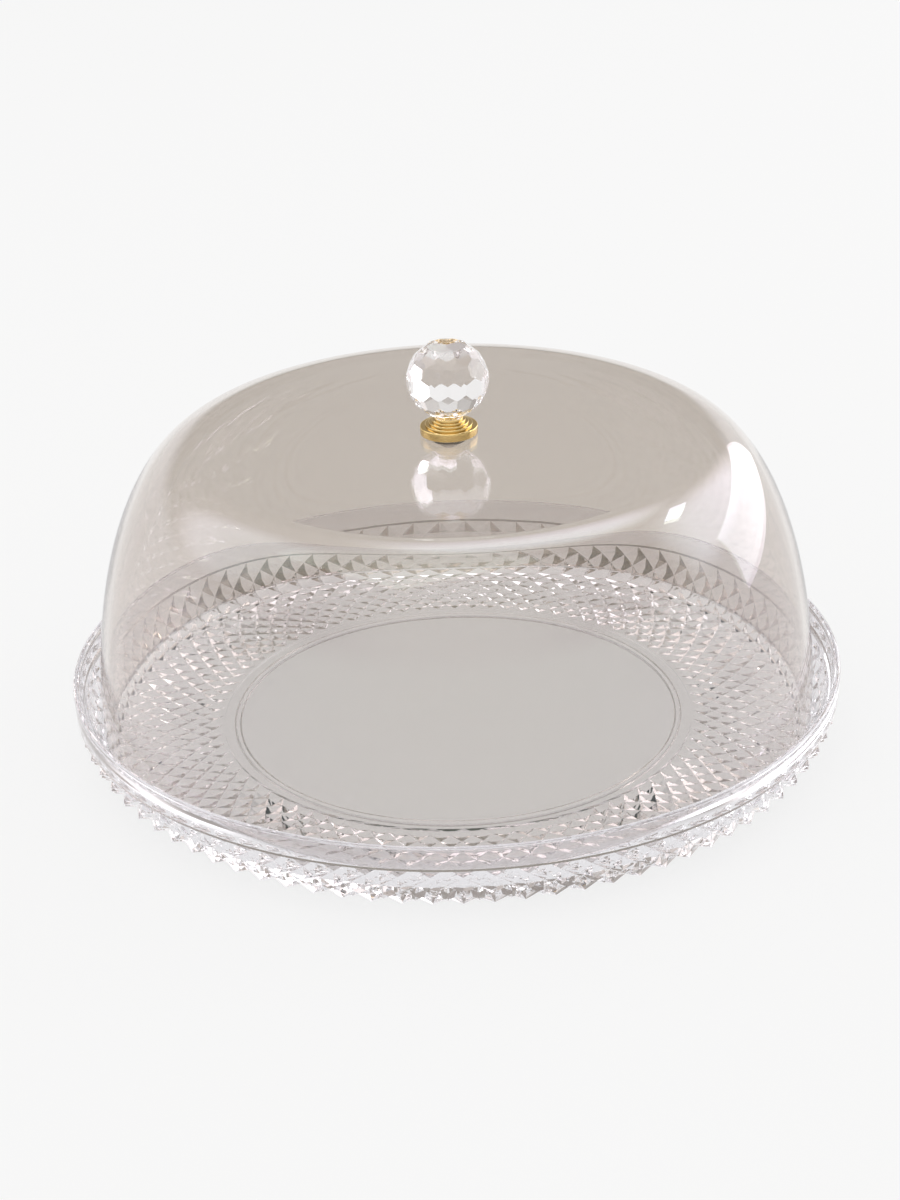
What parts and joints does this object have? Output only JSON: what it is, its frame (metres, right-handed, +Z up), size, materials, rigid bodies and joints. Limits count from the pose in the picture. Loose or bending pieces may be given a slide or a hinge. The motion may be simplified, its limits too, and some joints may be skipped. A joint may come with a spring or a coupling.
{
  "type": "cake dome",
  "caption": "Round clear tray with a diamond-cut underside and a clear low cover that lifts off by a faceted knob on a stepped metal base.",
  "frame": {"origin": "centre of the circle on which the tray's foot ring stands", "axes": "+Z up, along the axis of the tray, the cover and the knob; +X to the right and +Y away in the front view"},
  "size_m": [0.3, 0.3, 0.1576],
  "materials": {
    "tray_acrylic": "clear moulded acrylic, polished",
    "cover_acrylic": "clear moulded acrylic, polished",
    "clear_gasket": "translucent soft silicone",
    "gold_plate": "polished gold-coloured plating on brass",
    "cut_crystal": "faceted and polished crystal glass",
    "plated_steel": "zinc-plated steel"
  },
  "bodies": {
    "base": {"tray": "tray_acrylic"},
    "lid": {"dome_cover": "cover_acrylic", "upper_gasket": "clear_gasket", "knob_base": "gold_plate", "knob_crystal": "cut_crystal", "lower_gasket": "clear_gasket", "flat_washer": "plated_steel", "knob_screw": "plated_steel"}
  },
  "joints": [
    {"name": "dome_lift", "type": "slide", "parent": "base", "child": "lid", "axis": [0, 0, 1], "range_m": [0, 0.18]}
  ]
}
